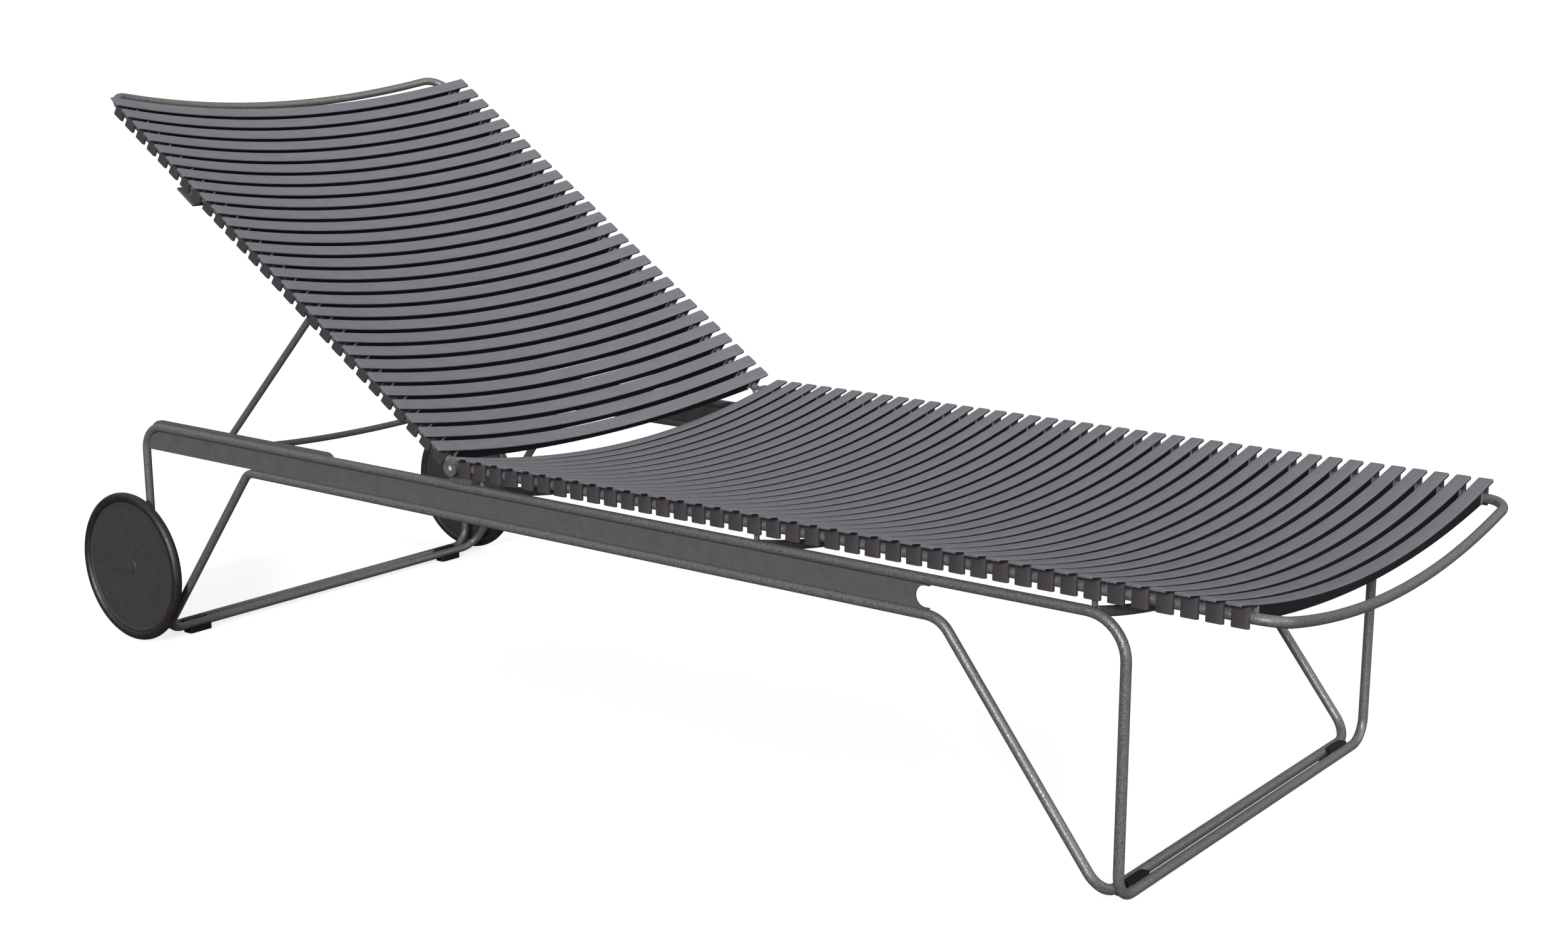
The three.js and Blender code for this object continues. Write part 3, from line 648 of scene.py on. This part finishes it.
class LOUNGER_OT_seat_tube(bpy.types.Operator):
    """Bends the seat's tube, from hinge to hinge round the foot end"""

    bl_idname = "lounger.seat_tube"
    bl_label = "Seat tube"

    def execute(self, context):
        sizes = context.scene.lounger_sizes
        piece = bend_bowed_u("seat_tube", TUBE_START, FOOT_BOW_X, DOWN, sizes.tube_radius,
                             RAIL_Y, END_BEND, sizes.bow_sag)
        finish_piece(place(piece, TO_SEAT), "frame",
                     ["textured_powder_coat"], ["seat_frame"])
        return {"FINISHED"}


class LOUNGER_OT_back_tube(bpy.types.Operator):
    """Bends the backrest's tube, from hinge to hinge round the head end"""

    bl_idname = "lounger.back_tube"
    bl_label = "Backrest tube"

    def execute(self, context):
        sizes = context.scene.lounger_sizes
        piece = bend_bowed_u("back_tube", -TUBE_START, -HEAD_BOW_X, DOWN, sizes.tube_radius,
                             RAIL_Y, END_BEND, sizes.bow_sag)
        finish_piece(place(piece, TO_BACKREST), "backrest",
                     ["textured_powder_coat"], ["back_frame"])
        return {"FINISHED"}


def slat_height(sizes, y):
    """The height of a slat's top above the middle of its tube, at a place along the slat."""
    return sizes.slat_top - sizes.slat_sag * (1 - (2 * y / sizes.slat_length) ** 2)


def slat_plate(sizes):
    """The straight slat: a top plate over a channel that is hollow from below, cut into lengths."""
    half_width, half_length = sizes.slat_width / 2, sizes.slat_length / 2
    box_piece((-half_width, -half_length, -sizes.plate_thick), (half_width, half_length, 0))
    # The channel's outside, a little narrower below, and then its hollow, wider at the top.
    pick("faces", lambda f: f.normal.z < -0.9)
    bpy.ops.mesh.inset(thickness=PLATE_LIP, use_even_offset=True)
    bpy.ops.transform.resize(value=(1, CHANNEL_HALF / (half_length - PLATE_LIP), 1))
    run((0, 0, -CHANNEL_DEPTH))
    bpy.ops.transform.resize(value=(0.93, 1, 1))
    bpy.ops.mesh.inset(thickness=CHANNEL_WALL, use_even_offset=True)
    run((0, 0, CHANNEL_HOLLOW))
    bpy.ops.transform.resize(value=(1.05, 1, 1))
    bevel_edges(lambda e: abs(e.verts[0].co.z - e.verts[1].co.z) > 3 * MM
                and all(abs(v.co.y) > half_length - MM for v in e.verts), PLATE_CORNER, 3)
    bevel_edges(lambda e: all(v.co.z > -0.01 * MM for v in e.verts), PLATE_EDGE, 3)
    for i in range(1, SLAT_LENGTHS):
        bpy.ops.mesh.select_all(action="SELECT")
        bpy.ops.mesh.bisect(plane_co=(0, sizes.slat_length * (i / SLAT_LENGTHS - 0.5), 0),
                            plane_no=ACROSS)


def stations(mesh):
    """The places along the slat that hold vertices, each once."""
    found = []
    for y in sorted(v.co.y for v in mesh.verts):
        if not found or y - found[-1] > 0.05 * MM:
            found.append(y)
    return found


def bow_slat(sizes):
    """Lets the straight slat sag, and deepens its channel towards the ends."""
    clear = 200 * MM  # moved vertices wait this much higher, apart from those still to be moved
    near = 0.06 * MM
    places = stations(bmesh.from_edit_mesh(bpy.context.object.data))
    for y in places:
        pick("verts", lambda v: abs(v.co.y - y) < near and v.co.z < clear / 2)
        bpy.ops.transform.translate(value=(0, 0, clear + slat_height(sizes, y)))
    for y in places:
        under = clear + slat_height(sizes, y) - sizes.plate_thick - CHANNEL_GROWTH_BELOW
        pick("verts", lambda v: abs(v.co.y - y) < near and v.co.z < under)
        drop = CHANNEL_GROWTH * (y / CHANNEL_GROWTH_HALF) ** 2
        bpy.ops.transform.translate(value=(0, 0, -drop))
    bpy.ops.mesh.select_all(action="SELECT")
    bpy.ops.transform.translate(value=(0, 0, -clear))


def clip_block(low, high, bottom_width, along, rounding, bevel):
    """A moulded block, drawn in or let out at its lower end, with edges along Z or Y rounded."""
    box_piece(low, high)
    pick("verts", lambda v: v.co.z < (low[2] + high[2]) / 2)
    bpy.ops.transform.resize(value=(bottom_width, 1, 1))

    def is_rounded(edge):
        run_along = (edge.verts[1].co - edge.verts[0].co).normalized()
        middle = (edge.verts[0].co + edge.verts[1].co) / 2
        outer = abs(middle.y) > CLIP_FACE if along == 2 else middle.x > TONGUE_FACE
        return abs(run_along[along]) > 0.9 and outer

    bevel_edges(is_rounded, rounding, 2)
    bevel_edges(lambda e: e.calc_face_angle(0) > math.radians(50), bevel, 1)
    return end_edit("clip_block")


def clip_end(sizes, side):
    """The saddle over the tube, its outer wall, its inner wall and the tongue beside it, in mm."""
    under = (slat_height(sizes, CLIP_Y) - sizes.plate_thick) / MM
    upright, level = 2, 1
    # Two corners, width below over width above, edges to round, by how much, chamfer, material.
    blocks = [
        ((-8.2, 320.5, -1.0), (8.2, 335.5, under + 0.6), 0.82, upright, 0.6, 0.4, CLIP),
        ((-10.4, 333.6, -10.5), (10.4, 337.6, under + 1.2), 1.03, upright, 3.2, 0.5, CLIP),
        ((-8.2, 312.0, -6.8), (6.0, 321.4, under - 0.9), 0.9, upright, 0.6, 0.5, CLIP),
        # The tongue takes the slats' lighter plastic, not the clip's darker one, so that it reads lighter where it
        # faces the light: painted light.
        ((5.0, 313.2, -7.0), (10.2, 316.4, under + 0.1), 1.0, level, 2.6, 0.5, SLAT),
    ]
    made = []
    for low, high, bottom_width, along, rounding, bevel, material in blocks:
        low_y, high_y = sorted((side * low[1], side * high[1]))
        block = clip_block((low[0] * MM, low_y * MM, low[2] * MM),
                           (high[0] * MM, high_y * MM, high[2] * MM),
                           bottom_width, along, rounding * MM, bevel * MM)
        paint(block, material)
        made.append(block)
    return made


def model_slat(sizes):
    """One slat about X = 0, with the tube's centre line at Z = 0."""
    slat_plate(sizes)
    bow_slat(sizes)
    plate = end_edit("slat", 30)
    paint(plate, SLAT, PAINTED_SIDE_SHADE)
    # Painted shade: side faces lying more than SHADED_BELOW under the top take the near-black copy, for the deep
    # shade between slats.
    for face in plate.data.polygons:
        below_top = slat_height(sizes, face.center.y) - face.center.z
        face.material_index = int(below_top > SHADED_BELOW and abs(face.normal.x) > 0.5)
    clips = [block for _, side in SIDES for block in clip_end(sizes, side)]
    return join_pieces([plate, *clips], "slat")


def lay_slats(pattern, count, group, first_x, pitch, prefix, body, to_body, direction):
    """Copies the slat along a tube, each copy with its own mesh."""
    for i in range(count):
        piece = bpy.data.objects.new(f"{prefix}_slat_{i + 1:02d}", pattern.data.copy())
        bpy.context.scene.collection.objects.link(piece)
        x = direction * (first_x + i * pitch)
        place(piece, to_body @ Matrix.Translation((x, 0, 0)))
        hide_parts(f"{prefix}_slats_{i // group + 1}")
        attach(piece, body)


class LOUNGER_OT_slats(bpy.types.Operator):
    """Models one slat with its clips and lays it along the seat and the backrest"""

    bl_idname = "lounger.slats"
    bl_label = "Slats"

    def execute(self, context):
        sizes = context.scene.lounger_sizes
        pattern = model_slat(sizes)
        half = sizes.slat_width / 2
        lay_slats(pattern, SEAT_SLATS, SEAT_GROUP, SEAT_FIRST_X + half, sizes.slat_pitch,
                  "seat", "frame", TO_SEAT, 1)
        lay_slats(pattern, BACK_SLATS, BACK_GROUP, BACK_FIRST_X + half, sizes.slat_pitch,
                  "back", "backrest", TO_BACKREST, -1)
        bpy.data.objects.remove(pattern)
        return {"FINISHED"}


class LOUNGER_OT_stay(bpy.types.Operator):
    """Bends the bail that props the backrest, with its eyes and foot pins"""

    bl_idname = "lounger.stay"
    bl_label = "Stay"

    def execute(self, context):
        radius = context.scene.lounger_sizes.stay_radius
        # The bow lies in the stay's own plane and points away from the pivot.
        parts = [bend_bowed_u("stay_bail", 0.0, -STAY_LENGTH, Vector((-1, 0, 0)), radius,
                              STAY_HALF, STAY_BEND, STAY_SAG)]
        # Place along the stay, radius, and where it starts and ends across the lounger.
        ends = (
            (-STAY_LENGTH, 4 * MM, STAY_HALF - 4 * MM, 321 * MM),  # foot pin
            (0, 5.6 * MM, STAY_HALF - 4 * MM, STAY_HALF + 4 * MM),  # eye
            (0, 2.9 * MM, STAY_HALF, 317.4 * MM),  # pivot pin
        )
        for _, side in SIDES:
            for x, size, low, high in ends:
                deselect_all()
                bpy.ops.mesh.primitive_cylinder_add(
                    vertices=24, radius=size, depth=high - low,
                    location=(x, side * (low + high) / 2, 0), rotation=(math.pi / 2, 0, 0))
                start_edit()
                bevel_edges(is_level, PIN_EDGE, 2)
                parts.append(end_edit("stay_pin"))
        piece = join_pieces(parts, "stay_bail")
        turn_down = Matrix.Rotation(-STAY_BELOW_LEVEL, 4, "Y")
        place(piece, Matrix.Translation(STAY_PIVOT) @ turn_down)
        finish_piece(piece, "stay", ["textured_powder_coat"], ["stay"])
        return {"FINISHED"}


def wheel_ring(name, centre):
    """A round rubber section carried once round the axle, flattened a little where it rolls."""
    deselect_all()
    bpy.ops.mesh.primitive_circle_add(
        vertices=20, radius=TYRE_SECTION, location=(TYRE_RING, 0, 0))
    start_edit()
    bpy.ops.mesh.select_mode(type="EDGE")
    bpy.ops.mesh.spin(steps=96, angle=2 * math.pi, center=(0, 0, 0), axis=ACROSS)
    pick("verts", lambda v: v.co.length > TYRE_RING + TYRE_SECTION * 0.9)
    bpy.ops.transform.resize(value=(0.9985, 1, 0.9985))
    piece = end_edit(name, 50)
    return place(piece, Matrix.Translation(centre))


def wheel_face(name, centre, side):
    """A disc with a rolled rim, a shallow dish and a boss towards the frame."""
    deselect_all()
    bpy.ops.mesh.primitive_cylinder_add(
        vertices=96, radius=DISC_RADIUS, depth=DISC_THICK, rotation=(math.pi / 2, 0, 0))
    start_edit()
    # The rim, the step down to the dish, the dish's flat and the low seat of the hub cap.
    pick("faces", lambda f: f.normal.y * side > 0.9)
    bpy.ops.mesh.inset(thickness=2.6 * MM)
    bpy.ops.mesh.inset(thickness=1.2 * MM, depth=-0.7 * MM)
    bpy.ops.mesh.inset(thickness=DISC_FLAT)
    bpy.ops.mesh.inset(thickness=0.6 * MM, depth=0.5 * MM)
    # The inner flat and the boss towards the frame.
    pick("faces", lambda f: f.normal.y * side < -0.9)
    bpy.ops.mesh.inset(thickness=DISC_FLAT)
    bpy.ops.mesh.inset(thickness=2.5 * MM, depth=9.4 * MM)

    def is_rim(edge):
        return is_level(edge) and all(
            abs(math.hypot(v.co.x, v.co.z) - DISC_RADIUS) < 0.1 * MM for v in edge.verts)

    bevel_edges(is_rim, 1 * MM, 3)
    return place(end_edit(name, 25), Matrix.Translation(centre))


def hub_cap(name, centre, side):
    """A thin cap over the axle's end, with a small pin at its middle."""
    deselect_all()
    bpy.ops.mesh.primitive_cylinder_add(
        vertices=48, radius=HUB_RADIUS, depth=HUB_THICK, rotation=(math.pi / 2, 0, 0),
        location=(0, side * HUB_OUT, 0))
    start_edit()
    # The cap's chamfer, its shallow dish and the pin.
    pick("faces", lambda f: f.normal.y * side > 0.9)
    bpy.ops.mesh.inset(thickness=0.9 * MM, depth=0.3 * MM)
    bpy.ops.mesh.inset(thickness=6.4 * MM, depth=-0.2 * MM)
    bpy.ops.mesh.inset(thickness=0.3 * MM, depth=0.8 * MM)
    return place(end_edit(name, 25), Matrix.Translation(centre))


class LOUNGER_OT_wheels(bpy.types.Operator):
    """Spins the tyres and shapes the wheel discs and hub caps"""

    bl_idname = "lounger.wheels"
    bl_label = "Wheels"

    def execute(self, context):
        for word, side in SIDES:
            centre = Vector(JOINTS[f"wheel_{word}_spin"]["pos_m"])
            body = f"wheel_{word}"
            finish_piece(wheel_ring(f"tyre_ring_{word}", centre),
                         body, ["solid_rubber"], [f"tyre_{word}"])
            finish_piece(wheel_face(f"wheel_face_{word}", centre, side),
                         body, ["moulded_abs"], [f"wheel_disc_{word}"])
            finish_piece(hub_cap(f"hub_button_{word}", centre, side),
                         body, ["moulded_abs"], [f"hub_cap_{word}"])
        return {"FINISHED"}


class LOUNGER_OT_fittings(bpy.types.Operator):
    """Softens the edges of the plates, racks, hinges, lugs, bolts and pads, and finishes them"""

    bl_idname = "lounger.fittings"
    bl_label = "Fittings"

    FINISH = {
        "coated_tube": "textured_powder_coat",
        "coated_plate": "plate_powder_coat",
        "pad_rubber": "moulded_epdm",
        "bright_steel": "zinc_plated_steel",
    }

    def execute(self, context):
        slots = {s["node"]: s["material_slot"] for s in frame["record"]["subparts"]}
        for name, node in frame["nodes"].items():
            if node.hide_render:
                continue
            paint(node, self.FINISH[slots[name]])
            weld = node.modifiers.new("weld", "WELD")
            weld.merge_threshold = 0.01 * MM
            bevel = node.modifiers.new("soft_edges", "BEVEL")
            bevel.width = SOFT_EDGE
            bevel.segments = 2
            bevel.limit_method = "ANGLE"
            bevel.angle_limit = math.radians(40)
        return {"FINISHED"}


def studio_sky():
    """A white dome that lights from overhead, and looks evenly white behind the lounger."""
    world = bpy.data.worlds.new("studio")
    world.use_nodes = True
    tree = world.node_tree
    tree.nodes.clear()
    heading = add_node(tree, "ShaderNodeTexCoord", {}).outputs["Generated"]
    height = add_node(tree, "ShaderNodeSeparateXYZ", {"Vector": heading}).outputs["Z"]
    glow = add_node(tree, "ShaderNodeMapRange",
                    {"Value": height, "From Min": 0.0, "From Max": 0.7,
                     "To Min": 0.08, "To Max": 0.65})
    sky = add_node(tree, "ShaderNodeBackground",
                   {"Color": (1, 1, 1, 1), "Strength": glow.outputs["Result"]})
    backdrop = add_node(tree, "ShaderNodeBackground", {"Color": (1, 1, 1, 1), "Strength": 1.0})
    seen = add_node(tree, "ShaderNodeLightPath", {}).outputs["Is Camera Ray"]
    chosen = add_node(tree, "ShaderNodeMixShader", {"Fac": seen})
    tree.links.new(sky.outputs["Background"], chosen.inputs[1])
    tree.links.new(backdrop.outputs["Background"], chosen.inputs[2])
    add_node(tree, "ShaderNodeOutputWorld", {"Surface": chosen.outputs["Shader"]})
    return world


class LOUNGER_OT_studio(bpy.types.Operator):
    """Lays the pale floor and sets the soft lights and the camera"""

    bl_idname = "lounger.studio"
    bl_label = "Studio"

    AZIMUTH = math.radians(37.5)
    ELEVATION = math.radians(12.92)
    CAMERA_AT = (1.882, -2.314, 0.999)
    LENS_MM = 50.35
    SENSOR_MM = 36
    SHIFT = (-0.0007, 0.0072)
    FLOOR_SIZE = 400
    FLOOR_GLOW = 0.76
    # Name, place that it shines from, spread in degrees, strength, and whether it shows in gloss.
    LAMPS = (
        ("key_light", (0.5, -1.0, 0.43), 14, 4.1, True),
        ("fill_light", (2.0, 0.4, 1.1), 60, 1.8, True),
        ("rear_light", (-1.0, 0.75, -0.3), 60, 4.0, False),
    )

    def execute(self, context):
        scene = context.scene
        deselect_all()
        bpy.ops.mesh.primitive_plane_add(size=self.FLOOR_SIZE, location=(0, 0, -0.5 * MM))
        floor = context.object
        floor.name = "studio_floor"
        base = linear(scene.lounger_colours.floor)
        # Matt seamless paper: white, with the faintest change of tone from place to place.
        material, tree, coordinates, shader = new_material("studio_paper", base)
        tree.links.new(mottled(tree, coordinates, base, 900, 0.985, 1.0),
                       shader.inputs["Base Color"])
        shader.inputs["Roughness"].default_value = 0.9
        shader.inputs["Specular IOR Level"].default_value = 0.1
        shader.inputs["Emission Color"].default_value = (1, 1, 1, 1)
        shader.inputs["Emission Strength"].default_value = self.FLOOR_GLOW
        floor.data.materials.append(material)
        # The lounger takes its light from the lamps and the sky alone. The rear light stands for
        # what the floor would throw back at its underside, so it shines up through the floor.
        floor.visible_diffuse = floor.visible_glossy = floor.visible_shadow = False
        scene.world = studio_sky()
        for name, at, spread, power, glints in self.LAMPS:
            light = bpy.data.lights.new(name, "SUN")
            light.angle = math.radians(spread)
            light.energy = power
            lamp = bpy.data.objects.new(name, light)
            lamp.location = at
            lamp.rotation_euler = (-Vector(at)).to_track_quat("-Z", "Y").to_euler()
            lamp.visible_glossy = glints
            scene.collection.objects.link(lamp)
        lens = bpy.data.cameras.new("camera")
        lens.lens = self.LENS_MM
        lens.sensor_width = self.SENSOR_MM
        lens.sensor_fit = "HORIZONTAL"
        lens.shift_x, lens.shift_y = self.SHIFT
        lens.clip_end = self.FLOOR_SIZE
        camera = bpy.data.objects.new("camera", lens)
        back = Vector((math.sin(self.AZIMUTH) * math.cos(self.ELEVATION),
                       -math.cos(self.AZIMUTH) * math.cos(self.ELEVATION),
                       math.sin(self.ELEVATION)))
        camera.location = self.CAMERA_AT
        camera.rotation_euler = (-back).to_track_quat("-Z", "Y").to_euler()
        scene.collection.objects.link(camera)
        scene.camera = camera
        scene.view_settings.view_transform = "Standard"
        return {"FINISHED"}


OPERATORS = (
    LOUNGER_OT_finishes, LOUNGER_OT_hoops, LOUNGER_OT_cross_bars, LOUNGER_OT_seat_tube,
    LOUNGER_OT_back_tube, LOUNGER_OT_slats, LOUNGER_OT_stay, LOUNGER_OT_wheels,
    LOUNGER_OT_fittings, LOUNGER_OT_studio,
)


class LOUNGER_PT_panel(bpy.types.Panel):
    """Lists the lounger's pieces and its sizes and colours"""

    bl_idname = "LOUNGER_PT_panel"
    bl_label = "Sun lounger"
    bl_space_type = "VIEW_3D"
    bl_region_type = "UI"
    bl_category = "Lounger"

    def draw(self, context):
        for group in (context.scene.lounger_sizes, context.scene.lounger_colours):
            for name in group.__annotations__:
                self.layout.prop(group, name)
        for operator in OPERATORS:
            self.layout.operator(operator.bl_idname)


CLASSES = (LoungerSizes, LoungerColours, *OPERATORS, LOUNGER_PT_panel)


def register():
    for cls in CLASSES:
        bpy.utils.register_class(cls)
    bpy.types.Scene.lounger_sizes = bpy.props.PointerProperty(type=LoungerSizes)
    bpy.types.Scene.lounger_colours = bpy.props.PointerProperty(type=LoungerColours)


def unregister():
    del bpy.types.Scene.lounger_colours
    del bpy.types.Scene.lounger_sizes
    for cls in reversed(CLASSES):
        bpy.utils.unregister_class(cls)


def main():
    register()
    for operator in OPERATORS:
        group, name = operator.bl_idname.split(".")
        getattr(getattr(bpy.ops, group), name)()


if __name__ == "__main__":
    main()
